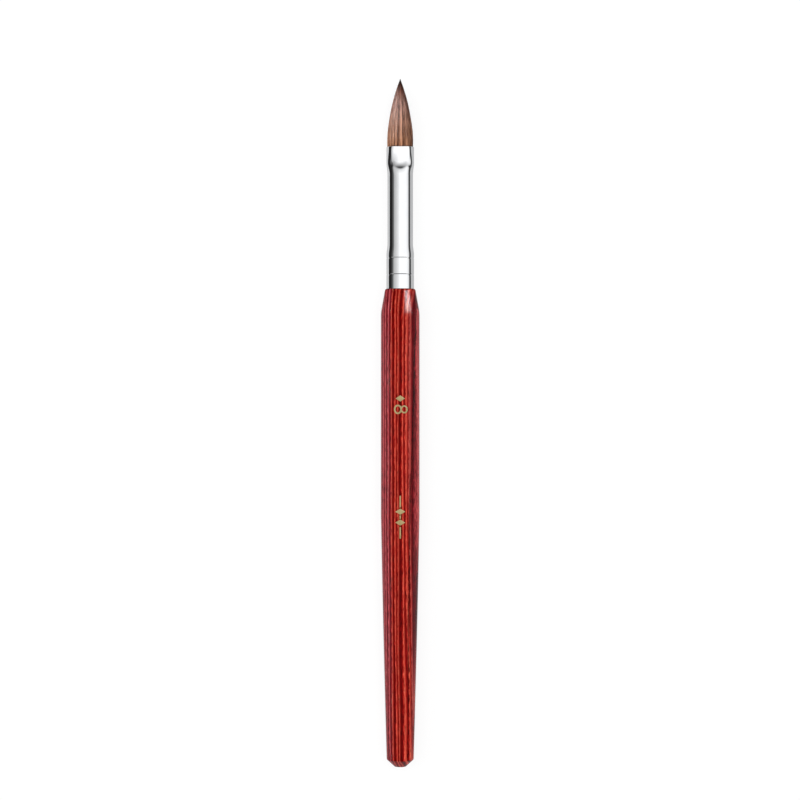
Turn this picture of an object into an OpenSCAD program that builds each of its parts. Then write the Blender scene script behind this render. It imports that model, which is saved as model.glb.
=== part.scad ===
// Nail brush for acrylic: a turned handle of laminated wood, a plated ferrule
// with a pressed mouth, and a pointed hair tuft whose roots are tied and glued.
// Every piece is drawn upright on the brush's axis, butt at z = 0, and then laid
// down with the middle of the straight grip at the origin: the axis runs along Y,
// the tip points to +Y, and the two pressed faces of the mouth look up and down.
// Millimetres, +Z up.

/* [Handle] */
// Length of the handle, from its butt to the shoulder under the ferrule
handle_l = 123.6; // [112:0.1:140]
// Diameter of the straight grip
grip_d = 10; // [9:0.1:12]
// Diameter where the taper meets the butt chamfer
butt_d = 7; // [5.5:0.1:8.5]
// Diameter of the flat at the end of the butt
butt_flat_d = 2.8; // [1.5:0.1:4.5]
// Length of the butt chamfer
butt_chamfer_l = 1.9; // [1:0.1:3]
// Distance from the butt at which the taper reaches the straight grip
taper_l = 65; // [50:0.5:80]
// How far the taper swells past a straight line at its middle
taper_swell = 0.08; // [0:0.01:0.3]
// Length of the turned cone under the shoulder
cone_l = 6.1; // [4:0.1:9]
// How far the top of the cone stands out past the ferrule
rim_ledge = 0.35; // [0.35:0.01:0.6]
// Radius of the rounded rim of the shoulder
rim_round = 0.4; // [0.1:0.01:0.4]
// Length of the tenon inside the ferrule
tenon_l = 14; // [12:0.1:17]
// Thickness of the cement between the tenon and the ferrule
cement_t = 0.12; // [0.05:0.01:0.2]

/* [Ferrule] */
// Length of the ferrule, from the shoulder to its mouth
ferrule_l = 36.7; // [33:0.1:45]
// Outside diameter of the collar that grips the tenon
collar_d = 7.1; // [6.8:0.05:7.6]
// Outside diameter of the barrel
barrel_d = 6.56; // [6.3:0.02:6.8]
// Wall thickness of the tube
tube_wall = 0.2; // [0.15:0.01:0.3]
// Distance from the shoulder to the middle of the first rolled ring
ring_at = 4.1; // [2:0.1:5]
// Distance between the two rolled rings
ring_gap = 4.3; // [2:0.1:5]
// Width of a rolled ring
ring_w = 0.6; // [0.3:0.05:0.9]
// Depth of a rolled ring
ring_depth = 0.14; // [0.05:0.01:0.2]
// Length over which the collar eases into the barrel
ease_l = 3; // [1.5:0.1:5]

/* [Crimp] */
// Width of the pressed mouth
mouth_w = 7.1; // [6.9:0.05:7.6]
// Thickness of the mouth, from one pressed face to the other
mouth_t = 5.6; // [5.4:0.05:6]
// Thickness at the waist, where the press is deepest and from which its faces lean out to the mouth
waist_t = 5.1; // [4.9:0.05:5.4]
// Distance from the mouth to the waist
press_l = 4.2; // [3:0.1:5]
// Radius of the pressing tool's nose, which leaves the curved lower edge
press_nose = 6; // [4:0.1:7]
// Length of the mouth at its full width
mouth_l = 3.7; // [2:0.1:5]
// Length over which the barrel spreads to the width of the mouth
spread_l = 3; // [1.5:0.1:4]

/* [Hair] */
// Length of the hair that stands out of the mouth
hair_l = 17.7; // [12:0.1:24]
// Power of the curve that draws the tuft to its point
point_power = 2.05; // [1.6:0.05:2.6]
// Gap between the hair and the inside of the mouth
hair_gap = 0.02; // [0.01:0.01:0.1]
// Depth below the mouth at which the strands part from their roots
strand_sink = 0.6; // [0.2:0.1:1.5]
// Rings of strands from the middle to the rim, with 6 strands in the first ring and 12 more in each next
strand_rings = 8; // [8:1:9]
// Width of a strand, as a share of its place in the bundle
strand_fill = 0.8; // [0.6:0.05:0.9]
// How unevenly the strands end, as a share of the hair's length
tip_scatter = 0.2; // [0.05:0.01:0.22]

/* [Roots] */
// Length of the hair roots below the mouth
root_l = 13; // [12:0.1:16]
// Diameter of the tied roots
root_d = 4.8; // [4:0.1:5.2]
// Length of the tied, straight end of the roots
tied_l = 6; // [5.5:0.1:6.5]
// Diameter of the binding thread
thread_d = 0.3; // [0.2:0.01:0.4]
// Turns of binding thread
thread_turns = 6; // [3:1:8]
// Distance from one turn of thread to the next
thread_pitch = 0.26; // [0.16:0.01:0.3]
// Distance from the end of the roots to the first turn of thread
thread_at = 1.6; // [1:0.1:2.5]
// Height of the glue above the end of the roots
glue_rise = 5; // [4.5:0.1:5.5]
// Thickness of the glue under the end of the roots
glue_floor = 0.8; // [0.3:0.1:2]

/* [Hidden] */
$fn = 96;

// Radii
grip_r = grip_d / 2;
butt_r = butt_d / 2;
collar_r = collar_d / 2;
barrel_r = barrel_d / 2;
mouth_r = mouth_w / 2;
root_r = root_d / 2;
neck_r = collar_r + rim_ledge;

// Heights on the axis, from the butt
shoulder_z = handle_l;
collar_top_z = shoulder_z + ring_at + ring_gap + ring_w / 2;
mouth_z = shoulder_z + ferrule_l;
spread_z = mouth_z - mouth_l - spread_l;
waist_z = mouth_z - press_l;
strand_z = mouth_z - strand_sink;
root_z = mouth_z - root_l;
tied_top_z = root_z + tied_l;
cone_z = shoulder_z - cone_l;
grip_mid_z = (taper_l + cone_z) / 2;

// Steps of a curve, and how far a cutter runs past what it cuts
curve_steps = 8;
cut_past = 1;

// How far round the pressing tool's nose runs, from its face
nose_turn = 60;

function lerp(a, b, t) = a + (b - a) * t;

// Distance of a pressed face from the axis at height z, leaning out from the waist to the mouth
function face_half(z) = lerp(waist_t / 2, mouth_t / 2, (z - waist_z) / press_l);

// Half widths of the bundle, across and from face to face, where the strands part and at the waist
bundle_clear = tube_wall + hair_gap;
bundle_half = [mouth_r - bundle_clear, face_half(strand_z) - bundle_clear];
waist_half = [barrel_r - bundle_clear, face_half(waist_z) - bundle_clear];

// Smooth step from 0 to 1 with level ends
function ease(t) = t * t * (3 - 2 * t);

// Lays an upright piece down, with the middle of the grip at the origin
module lay() {
    rotate([-90, 0, 0])
        translate([0, 0, -grip_mid_z])
            children();
}

// Outline of the turned handle: chamfered butt, swelling taper, straight grip, cone and round rim
function handle_outline() =
    let (cone_a = atan((grip_r - neck_r) / cone_l),
         rim_c = [neck_r + rim_round * (tan(cone_a) - 1 / cos(cone_a)), shoulder_z - rim_round])
    concat(
        [[0, 0], [butt_flat_d / 2, 0]],
        [for (i = [0 : curve_steps]) let (t = i / curve_steps)
            [lerp(butt_r, grip_r, t) + 4 * taper_swell * t * (1 - t), lerp(butt_chamfer_l, taper_l, t)]],
        [[grip_r, cone_z]],
        [for (i = [0 : curve_steps]) let (a = lerp(cone_a, 90, i / curve_steps))
            rim_c + rim_round * [cos(a), sin(a)]],
        [[0, shoulder_z]]);

// One rolled ring: half an ellipse pressed into the collar
function ring_outline(at, inset) =
    [for (i = [0 : curve_steps]) let (a = 180 * i / curve_steps)
        [collar_r - inset - ring_depth * sin(a), shoulder_z + at - ring_w / 2 * cos(a)]];

// Outline of the round tube before its mouth is pressed, drawn in by inset and carried past both ends
function tube_outline(inset, past) =
    concat(
        [[0, shoulder_z - past], [collar_r - inset, shoulder_z - past]],
        ring_outline(ring_at, inset),
        ring_outline(ring_at + ring_gap, inset),
        [for (i = [1 : curve_steps]) let (t = i / curve_steps)
            [lerp(collar_r, barrel_r, ease(t)) - inset, collar_top_z + t * ease_l]],
        [for (i = [0 : curve_steps]) let (t = i / curve_steps)
            [lerp(barrel_r, mouth_r, ease(t)) - inset, spread_z + t * spread_l]],
        [[mouth_r - inset, mouth_z + past], [0, mouth_z + past]]);

// Side outline of the pressing tool: a leaning face with a round nose, as [distance from the axis, height]
function tool_outline(inset, past) =
    let (nose_c = [face_half(waist_z) + press_nose, waist_z], top_z = mouth_z + past + cut_past)
    concat(
        [[nose_c[0], top_z], [face_half(top_z) - inset, top_z]],
        [for (i = [0 : 2 * curve_steps]) let (a = 180 + nose_turn * i / (2 * curve_steps))
            nose_c + (press_nose + inset) * [cos(a), sin(a)]]);

// The two tools that press the mouth, moved in by inset
module press_tools(inset, past) {
    for (side = [0, 180])
        rotate([90, 0, 90 + side])
            translate([0, 0, -mouth_w])
                linear_extrude(2 * mouth_w)
                    polygon(tool_outline(inset, past));
}

// The pressed tube as a solid, drawn in by inset
module pressed_tube(inset, past) {
    difference() {
        rotate_extrude() polygon(tube_outline(inset, past));
        press_tools(inset, past);
    }
}

// What lies in the collar beside the tenon: the bore drawn in by inset, up to the tenon's end
module tenon_outline(inset, start_z) {
    intersection() {
        polygon(tube_outline(inset, cut_past));
        translate([0, start_z]) square([collar_r, shoulder_z + tenon_l - start_z]);
    }
}

// Section of the binding: its turns side by side, pressed flat on the roots
module binding_outline() {
    first_z = root_z + thread_at;
    wound_l = (thread_turns - 1) * thread_pitch;
    translate([root_r, first_z - thread_d / 4]) square([thread_d / 2, wound_l + thread_d / 2]);
    for (i = [0 : thread_turns - 1])
        translate([root_r + thread_d / 2, first_z + i * thread_pitch]) circle(d = thread_d);
}

// Points of a disc of radius 1: ring k of n has 6 k points
function disc_points(n) =
    concat([[0, 0]], [for (k = [1 : n]) for (i = [0 : 6 * k - 1]) k / n * [cos(60 * i / k), sin(60 * i / k)]]);

// Place in disc_points of point i of ring k
function disc_index(k, i) = k == 0 ? 0 : 1 + 3 * k * (k - 1) + i % (6 * k);

// The disc's 6 n n triangles, each a place for one strand, as indexes that turn to the left
function disc_cells(n) =
    [for (k = [1 : n]) for (s = [0 : 5]) each concat(
        [for (j = [0 : k - 1])
            [disc_index(k - 1, s * (k - 1) + j), disc_index(k, s * k + j), disc_index(k, s * k + j + 1)]],
        [for (j = [0 : 1 : k - 2])
            [disc_index(k - 1, s * (k - 1) + j), disc_index(k, s * k + j + 1),
             disc_index(k - 1, s * (k - 1) + j + 1)]])];

// Width of the tuft at share t of the hair's length, as a share of its width at the mouth
function draw_in(t) = 1 - pow(t, point_power);

// Shares of the hair's length at which a strand bends, and its width left at the very tip
bend_shares = [0.42, 0.75];
tip_width = 0.02;

// Place at share t above the last bend, where the strands run straight to the tip
function last_run(t) = lerp(draw_in(bend_shares[1]), tip_width, (t - bend_shares[1]) / (1 - bend_shares[1]));

// Share of the hair's length at which strand c ends: spread evenly by the golden ratio, less in the middle
golden = (sqrt(5) - 1) / 2;
function strand_end(c, out) = 1 - tip_scatter * out * (c * golden - floor(c * golden));

// The four corners of a ring of faces between points a, a2 below and b, b2 above, as two triangles
// seen from outside
function side_faces(a, a2, b, b2) = [[a2, a, b2], [a, b, b2]];

// A disc point carried to the bundle at height z, with the bundle drawn in to a share of its width
function in_bundle(p, share, z) = [p[0] * bundle_half[0] * share, p[1] * bundle_half[1] * share, z];

module handle() {
    color([0.62, 0.16, 0.13]) lay() rotate_extrude() {
        polygon(handle_outline());
        tenon_outline(tube_wall + cement_t, shoulder_z - cut_past);
    }
}

module tenon_cement() {
    color([0.85, 0.80, 0.62]) lay() rotate_extrude() difference() {
        tenon_outline(tube_wall, shoulder_z);
        tenon_outline(tube_wall + cement_t, shoulder_z - cut_past);
    }
}

module ferrule() {
    color([0.80, 0.81, 0.83]) lay() difference() {
        pressed_tube(0, 0);
        pressed_tube(tube_wall, cut_past);
    }
}

// Strands of three sides that rise from the top of the root block, keep their places in the bundle
// as it is drawn in, and end in points of their own
module hair_tuft() {
    disc = disc_points(strand_rings);
    cells = disc_cells(strand_rings);
    rim = 6 * strand_rings;
    rim_start = len(disc) - rim;
    // Root block: the top disc, an oval ring at the waist, a round ring at each end of the tie, its middle
    rings = [[waist_half, waist_z], [[root_r, root_r], tied_top_z], [[root_r, root_r], root_z]];
    block = concat(
        [for (p = disc) in_bundle(p, 1, strand_z)],
        [for (ring = rings) for (i = [0 : rim - 1])
            let (p = disc[rim_start + i]) [p[0] * ring[0][0], p[1] * ring[0][1], ring[1]]],
        [[0, 0, root_z]]);
    middle = len(block) - 1;
    block_faces = [for (i = [0 : rim - 1]) let (n = (i + 1) % rim) each concat(
        [for (k = [0 : len(rings) - 1]) let (above = rim_start + k * rim, below = above + rim)
            each side_faces(below + i, below + n, above + i, above + n)],
        [[middle, middle - rim + i, middle - rim + n]])];
    // Each strand: 3 points at its foot, 3 at each bend and 1 at its tip
    per_strand = 10;
    levels = concat([[1, strand_z]], [for (t = bend_shares) [draw_in(t), mouth_z + t * hair_l]]);
    strands = [for (c = [0 : len(cells) - 1])
        let (corners = [for (i = cells[c]) disc[i]],
             centre = (corners[0] + corners[1] + corners[2]) / 3,
             t = strand_end(c, norm(centre)))
        each concat(
            [for (level = levels) for (p = corners)
                in_bundle(lerp(centre, p, strand_fill), level[0], level[1])],
            [in_bundle(centre, last_run(t), mouth_z + t * hair_l)])];
    strand_start = len(block);
    strand_faces = [for (c = [0 : len(cells) - 1]) for (i = [0 : 2])
        let (n = (i + 1) % 3, s = strand_start + per_strand * c)
        each concat(
            side_faces(cells[c][i], cells[c][n], s + i, s + n),
            side_faces(s + i, s + n, s + 3 + i, s + 3 + n),
            side_faces(s + 3 + i, s + 3 + n, s + 6 + i, s + 6 + n),
            [[s + 6 + n, s + 6 + i, s + 9]])];
    color([0.62, 0.45, 0.36]) lay() polyhedron(concat(block, strands), concat(block_faces, strand_faces));
}

module root_binding() {
    color([0.93, 0.91, 0.85]) lay() rotate_extrude() binding_outline();
}

module root_glue() {
    color([0.80, 0.66, 0.40]) lay() rotate_extrude() difference() {
        translate([0, root_z - glue_floor]) square([barrel_r - tube_wall, glue_floor + glue_rise]);
        translate([0, root_z]) square([root_r, tied_l]);
        binding_outline();
    }
}

handle();
tenon_cement();
ferrule();
hair_tuft();
root_binding();
root_glue();
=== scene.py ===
# %% [markdown]
# # A nail brush for acrylic
# The brush has a turned handle of laminated red wood, a plated ferrule and a pointed tuft of
# natural hair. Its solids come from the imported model, lie along Y with the tip towards +Y, and
# have their origin in the middle of the grip. This lesson dresses them: each piece is worked out
# as a grid of points with numpy, gets a material made of nodes, and rides on the brush's one body.

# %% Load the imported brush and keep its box
import math

import bpy
import numpy as np
from mathutils import Matrix


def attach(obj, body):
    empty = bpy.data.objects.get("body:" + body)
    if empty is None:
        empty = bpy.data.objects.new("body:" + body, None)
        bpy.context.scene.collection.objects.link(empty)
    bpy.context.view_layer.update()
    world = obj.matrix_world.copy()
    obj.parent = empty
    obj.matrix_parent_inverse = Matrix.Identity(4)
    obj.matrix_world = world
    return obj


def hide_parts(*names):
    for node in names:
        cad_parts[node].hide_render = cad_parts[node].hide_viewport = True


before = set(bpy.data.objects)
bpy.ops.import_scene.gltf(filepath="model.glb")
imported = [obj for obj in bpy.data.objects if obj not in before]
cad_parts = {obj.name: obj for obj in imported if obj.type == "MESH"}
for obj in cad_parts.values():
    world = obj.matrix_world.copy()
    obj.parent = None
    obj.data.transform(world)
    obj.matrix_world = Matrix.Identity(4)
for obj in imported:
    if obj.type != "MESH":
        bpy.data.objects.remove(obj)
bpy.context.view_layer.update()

MM = 0.001
print("nodes:", sorted(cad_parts))

# %% [markdown]
# ## Where things are along the axis
# The ends of handle, ferrule and hair are read from the solids, so the dressed pieces meet where the
# solids do. A box doesn't show where a grip or a collar ends, so those lengths and the radii repeat
# the solids' sizes by name. All are in millimetres: names in _Y are places along the brush, in _L
# lengths, and in _R radii from its axis.

# %% Places, lengths and radii
def solid_box(node_name):
    """Lowest and highest corner of a solid, to a thousandth of a millimetre."""
    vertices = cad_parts[node_name].data.vertices
    coords = np.empty(3 * len(vertices), np.float32)
    vertices.foreach_get("co", coords)
    points = coords.reshape(-1, 3).astype(float) / MM
    return points.min(axis=0).round(3).tolist(), points.max(axis=0).round(3).tolist()


(_, BUTT_Y, _), (_, TENON_Y, _) = solid_box("handle")
(_, SHOULDER_Y, _), (_, MOUTH_Y, _) = solid_box("ferrule")
(_, ROOT_Y, _), (HALF_WIDE, TIP_Y, HALF_DEEP) = solid_box("hair_tuft")
CHAMFER_L, GRIP_L, COLLAR_L, COLLAR_EASE_L = 1.9, 52.5, 8.7, 3.0
CHAMFER_Y, TAPER_Y, CONE_Y = BUTT_Y + CHAMFER_L, -GRIP_L / 2, GRIP_L / 2
COLLAR_TOP_Y = SHOULDER_Y + COLLAR_L
BARREL_Y = COLLAR_TOP_Y + COLLAR_EASE_L
FLAT_R, BUTT_R, GRIP_R, NECK_R, TENON_R = 1.4, 3.5, 5.0, 3.9, 3.2
COLLAR_R, BARREL_R, MOUTH_R, WALL = 3.55, 3.28, 3.55, 0.2
HAIR_L = TIP_Y - MOUTH_Y
print("hair", round(HAIR_L, 2), "mm, ferrule", round(MOUTH_Y - SHOULDER_Y, 2), "mm")


# %% [markdown]
# ## From a grid of points to a mesh
# A turned or lofted piece is a stack of rings with the same number of points. Neighbouring rings
# are joined by quads, and a ring that ends the piece is closed by one point at its middle, so the
# skin has no hole. Blender's Spin and Skin tools could make such shapes too. Working with whole
# arrays is shorter, and the formula of each shape stays in sight.

# %% Helpers that make a mesh from rings
def full_turn(count):
    """Angles evenly spaced once round."""
    return np.linspace(0.0, 2 * np.pi, count, endpoint=False)


def round_axis(wide, angle, place, deep=None):
    """Points round the Y axis: x = wide sin(angle), y = place, z = deep cos(angle). The section is
    round unless it has a deep radius of its own."""
    deep = wide if deep is None else deep
    return np.stack(np.broadcast_arrays(wide * np.sin(angle), place, deep * np.cos(angle)), axis=-1)


def ring_quads(rows, cols, closed_rows=False):
    """Quads between ring i and ring i + 1 of a stack, wrapping round each ring, and also from
    the last ring to the first when the stack itself is a closed loop."""
    i = np.arange(rows if closed_rows else rows - 1)[:, None]
    j = np.arange(cols)[None, :]
    low = i * cols
    high = (i + 1) % rows * cols
    right = (j + 1) % cols
    return np.stack([low + j, low + right, high + right, high + j], axis=-1).reshape(-1, 4)


def capped_rings(rings):
    """Points and faces of a stack of rings (rows, cols, 3), closed by the middle of each end ring."""
    rows, cols = rings.shape[:2]
    first, last = rows * cols, rows * cols + 1
    middles = rings[[0, -1]].mean(axis=1)
    points = np.concatenate([rings.reshape(-1, 3), middles])
    j = np.arange(cols)
    right = (j + 1) % cols
    top = (rows - 1) * cols
    start_fan = np.stack([np.full(cols, first), right, j], axis=-1)
    end_fan = np.stack([np.full(cols, last), top + j, top + right], axis=-1)
    return points, ring_quads(rows, cols).tolist() + start_fan.tolist() + end_fan.tolist()


def put_in_scene(name, data):
    """New object at the origin that holds a mesh, a lamp or a camera."""
    thing = bpy.data.objects.new(name, data)
    bpy.context.scene.collection.objects.link(thing)
    return thing


def make_piece(name, points_mm, faces, material):
    """Object at the origin with the points in its mesh, in metres, shaded smooth."""
    mesh = bpy.data.meshes.new(name)
    mesh.from_pydata((np.asarray(points_mm).reshape(-1, 3) * MM).tolist(), [], faces)
    mesh.shade_smooth()
    mesh.materials.append(material)
    print(name, len(mesh.vertices), "points", len(mesh.polygons), "faces")
    return put_in_scene(name, mesh)


# %% [markdown]
# ## Building materials from nodes
# A material is a small network: coordinates in, patterns in the middle, one shader at the end. It
# could be drawn by hand in the Shader Editor. Written as code it reads from top to bottom, and a
# few helpers keep the wiring out of the way.

# %% Helpers that wire nodes
def plug(node, **inputs):
    """Gives a node's inputs their values or links. A key is the name of an input, with _ for a
    space, or its number, written i0, i1 and so on."""
    for key, value in inputs.items():
        numbered = key[0] == "i" and key[1:].isdigit()
        socket = node.inputs[int(key[1:]) if numbered else key.replace("_", " ")]
        if isinstance(value, bpy.types.NodeSocket):
            node.id_data.links.new(value, socket)
        else:
            socket.default_value = value
    return node


def add_node(tree, kind, settings=None, **inputs):
    """New shader node with its properties set and its inputs plugged. Blender's own name for a kind
    has ShaderNode in front."""
    node = tree.nodes.new("ShaderNode" + kind)
    for key, value in (settings or {}).items():
        setattr(node, key, value)
    return plug(node, **inputs)


def maths(tree, operation, *values, clamp=False):
    """Result of one Math node on numbers or links."""
    settings = {"operation": operation, "use_clamp": clamp}
    inputs = {f"i{place}": value for place, value in enumerate(values)}
    return add_node(tree, "Math", settings, **inputs).outputs[0]


def new_material(name, shader_kind="BsdfPrincipled"):
    """Material whose tree holds one shader, Principled unless another is named, and its output."""
    material = bpy.data.materials.new(name)
    material.use_nodes = True
    tree = material.node_tree
    tree.nodes.clear()
    shader = add_node(tree, shader_kind)
    add_node(tree, "OutputMaterial", Surface=shader.outputs[0])
    return material, tree, shader


# %% [markdown]
# A ramp turns a value into colours, a range carries a value to other limits, colours are mixed or
# multiplied, and noise is stretched, because wood, hair and polish have grain that runs one way.

# %% Helpers that make patterns
def remap(tree, value, low, high, to_low, to_high):
    """Value carried from one range to another and held at its ends."""
    limits = {"From_Min": low, "From_Max": high, "To_Min": to_low, "To_Max": to_high}
    return add_node(tree, "MapRange", {"clamp": True}, Value=value, **limits).outputs["Result"]


def colour_ramp(tree, value, stops):
    """Colours between stops [(place, (r, g, b)), ...] read by a value from 0 to 1."""
    node = add_node(tree, "ValToRGB", Fac=value)
    elements = node.color_ramp.elements
    while len(elements) < len(stops):
        elements.new(1.0)
    for element, (place, colour) in zip(elements, stops):
        element.position = place
        element.color = (*colour, 1.0)
    return node.outputs["Color"]


def grey_ramp(tree, value, low, high, levels):
    """Greys at places between low and high, [(place, level), ...], read by a value in that range."""
    stops = [((place - low) / (high - low), (level,) * 3) for place, level in levels]
    return colour_ramp(tree, remap(tree, value, low, high, 0.0, 1.0), stops)


def mixed(tree, share, a, b, blend="MIX"):
    """Colour between a and b by a share, or with blend MULTIPLY their product."""
    settings = {"data_type": "RGBA", "blend_type": blend}
    return add_node(tree, "Mix", settings, i0=share, i6=a, i7=b).outputs[2]


def times(tree, a, b):
    """Product of two colours, or of a colour and a level."""
    return mixed(tree, 1.0, a, b, "MULTIPLY")


def object_place(tree):
    """Place of a surface point in its own object, in metres."""
    return add_node(tree, "TexCoord").outputs["Object"]


def stretched_noise(tree, place, grains, detail, roughness=0.5):
    """Noise with a number of grains per unit along X, Y and Z: fewer make it longer that way."""
    scaled = add_node(tree, "Mapping", Vector=place, Scale=grains).outputs[0]
    noise = add_node(tree, "TexNoise", Vector=scaled, Scale=1.0, Detail=detail, Roughness=roughness)
    return noise.outputs["Fac"]


# %% [markdown]
# Every surface that is handled has faint smears and dust. One group makes that unevenness: a soft
# cloud and a fine speckle on object coordinates, put out as one mask. It could be wired anew in
# each material; as a group it is built once, and each finish sets its scale. On plating, foil and
# glue the mask leads from a clean colour and roughness to marked ones.

# %% A shared group for uneven surfaces
SPECKLE_SHARE = 0.35


def handling_group():
    """Mask from 0 to 1: a soft cloud of noise with a share of fine speckle."""
    tree = bpy.data.node_groups.new("handling_marks", "ShaderNodeTree")
    for name in ("Cloud per metre", "Speckle per metre"):
        tree.interface.new_socket(name, in_out="INPUT", socket_type="NodeSocketFloat")
    tree.interface.new_socket("Mask", in_out="OUTPUT", socket_type="NodeSocketFloat")
    given = tree.nodes.new("NodeGroupInput").outputs
    place = object_place(tree)
    cloud = add_node(tree, "TexNoise", Vector=place, Scale=given["Cloud per metre"], Detail=3.0)
    speckle = add_node(tree, "TexNoise", Vector=place, Scale=given["Speckle per metre"], Detail=1.0)
    both = add_node(tree, "Mix", {"data_type": "FLOAT"}, Factor=SPECKLE_SHARE,
                    A=cloud.outputs["Fac"], B=speckle.outputs["Fac"])
    mask = remap(tree, both.outputs["Result"], 0.3, 0.7, 0.0, 1.0)
    plug(tree.nodes.new("NodeGroupOutput"), Mask=mask)
    return tree


HANDLING = handling_group()


def handling_mask(tree, cloud, speckle):
    """The shared unevenness at this material's own scales."""
    scales = {"Cloud_per_metre": cloud, "Speckle_per_metre": speckle}
    return add_node(tree, "Group", {"node_tree": HANDLING}, **scales).outputs["Mask"]


def marked_material(name, scales, clean, marked, rough):
    """Material whose colour goes from clean to marked, and whose roughness goes between two limits,
    by the handling mask at these scales."""
    material, tree, shader = new_material(name)
    marks = handling_mask(tree, *scales)
    tint = colour_ramp(tree, marks, [(0.0, clean), (1.0, marked)])
    plug(shader, Base_Color=tint, Roughness=remap(tree, marks, 0.0, 1.0, *rough))
    return material, tree, shader


print("group:", HANDLING.name, [item.name for item in HANDLING.interface.items_tree])

# %% [markdown]
# ## Laminated wood under lacquer
# The handle is turned from a block of thin dyed veneers. A layer is a plane, so a point's layer
# depends only on its depth along the layers' normal: where the surface cuts the planes square, the
# stripes are fine, and where it runs along them they open into flames. A picture wrapped on the
# handle would miss that, so the pattern is solid, made from object coordinates. The normal points
# mostly to the right, which puts fine stripes in front and flames at the sides. Real layers are a
# little wavy and fray along their fibres.

# %% Where a point lies in the block of veneers
LAYER_NORMAL = (0.92, 0.0, 0.39)
WAVES_PER_MM, WAVE_MM = (0.5, 0.022, 0.5), 0.3
FIBRES_PER_MM, FRAY_MM = (3.4, 0.55, 3.4), 0.16


def veneer_place(tree):
    """Place in millimetres, the fibres' noise, and the depth in the block: the distance along the
    layers' normal, plus a slow wave, plus the fray of the fibres."""
    place = object_place(tree)
    in_mm = add_node(tree, "VectorMath", {"operation": "SCALE"}, i0=place, Scale=1.0 / MM).outputs[0]
    wave = stretched_noise(tree, in_mm, WAVES_PER_MM, 2.0)
    fibre = stretched_noise(tree, in_mm, FIBRES_PER_MM, 3.0, 0.6)
    along = add_node(tree, "VectorMath", {"operation": "DOT_PRODUCT"}, i0=in_mm, i1=LAYER_NORMAL)
    waved = maths(tree, "ADD", along.outputs["Value"], remap(tree, wave, 0.2, 0.8, -WAVE_MM, WAVE_MM))
    depth = maths(tree, "ADD", waved, remap(tree, fibre, 0.2, 0.8, -FRAY_MM, FRAY_MM))
    return in_mm, fibre, depth


lean = math.degrees(math.atan2(LAYER_NORMAL[2], LAYER_NORMAL[0]))
print("the layers' normal leans", round(lean), "degrees from the right to the front")

# %% [markdown]
# The veneers in the middle of the block are dyed red, and those towards its sides mauve. Each is
# bright in its middle and nearly black at its joints, where glue and dye gather. A Wave texture
# would give even stripes; Voronoi cells in one dimension give layers of uneven thickness, each with
# a chance colour that makes it lighter or darker. The mauve on the sides is partly painted
# reflection: it lies where the lacquer shows the pale veil of the side lamps, and its paler, bluer
# tint stands in for part of that veil.

# %% The colours of the veneers
RED_VENEER = [(0.0, (0.50, 0.078, 0.044)), (0.12, (0.42, 0.032, 0.020)),
              (0.26, (0.22, 0.005, 0.004)), (0.45, (0.11, 0.001, 0.001))]
# The mauve colour and its share by depth below are partly painted reflection: paler and bluer on the grip's
# sides, they stand in for part of the lacquer's pale veil there.
MAUVE_AND_VEIL_VENEER = [(0.0, (0.54, 0.090, 0.100)), (0.12, (0.43, 0.048, 0.062)),
                (0.26, (0.24, 0.012, 0.021)), (0.45, (0.10, 0.004, 0.008))]
MAUVE_AND_VEIL_BY_DEPTH = [(-1.0, 0.85), (-0.4, 0.0), (3.6, 0.0), (4.3, 0.6)]
BLOCK_HALF, LAYERS_PER_MM, LAYER_SHIFT, UNEVEN = 5.0, 1.13, 0.4, 0.45
PORES_PER_MM = (8.0, 0.65, 8.0)
CHANCE_LEVELS, FIBRE_LEVELS, PORE_LEVELS = (0.78, 1.18), (0.58, 1.42), (0.5, 1.0)


def veneer_colour(tree, in_mm, fibre, depth):
    """Colour by the distance from the layer's middle, red or mauve by depth, times a chance level
    for each layer, times the fibres, times fine dark pores. The mauve on the sides is partly
    painted reflection of the lacquer's veil."""
    shifted = maths(tree, "SUBTRACT", depth, LAYER_SHIFT)
    layer = add_node(tree, "TexVoronoi", {"voronoi_dimensions": "1D"}, W=shifted,
                     Scale=LAYERS_PER_MM, Randomness=UNEVEN)
    from_middle = layer.outputs["Distance"]
    mauve = grey_ramp(tree, depth, -BLOCK_HALF, BLOCK_HALF, MAUVE_AND_VEIL_BY_DEPTH)
    red_dye = colour_ramp(tree, from_middle, RED_VENEER)
    mauve_and_veil_dye = colour_ramp(tree, from_middle, MAUVE_AND_VEIL_VENEER)
    colour = mixed(tree, mauve, red_dye, mauve_and_veil_dye)
    chance = add_node(tree, "SeparateColor", Color=layer.outputs["Color"]).outputs["Red"]
    colour = times(tree, colour, remap(tree, chance, 0.0, 1.0, *CHANCE_LEVELS))
    colour = times(tree, colour, remap(tree, fibre, 0.3, 0.7, *FIBRE_LEVELS))
    pore = stretched_noise(tree, in_mm, PORES_PER_MM, 1.0)
    return times(tree, colour, remap(tree, pore, 0.33, 0.40, *PORE_LEVELS))


print("a veneer is about", round(1 / LAYERS_PER_MM, 2), "mm thick")

# %% [markdown]
# One glue seam near the right is darker than the rest and runs a little aslant, from the edge of
# the grip towards the front of the taper. It is a plane of its own, so its depth changes slowly
# with Y. Over everything lies clear lacquer: a coat of its own on the Principled shader, smoother
# than the wood under it, so lamps show as soft veils and the red stays deep between them.

# %% The wood's material
SEAM_DEPTH, SEAM_TILT, SEAM_HALF, SEAM_LEVEL = 4.43, 0.018, 0.1, 0.36
WOOD_ROUGH, COAT_ROUGH = (0.30, 0.46), 0.2


def seam_level(tree, in_mm, depth):
    """SEAM_LEVEL where the depth less the tilt times Y is within SEAM_HALF of SEAM_DEPTH, else 1."""
    along = add_node(tree, "SeparateXYZ", Vector=in_mm).outputs["Y"]
    tilted = maths(tree, "MULTIPLY_ADD", along, -SEAM_TILT, depth)
    seam = maths(tree, "COMPARE", tilted, SEAM_DEPTH, SEAM_HALF)
    return remap(tree, seam, 0.0, 1.0, 1.0, SEAM_LEVEL)


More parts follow.
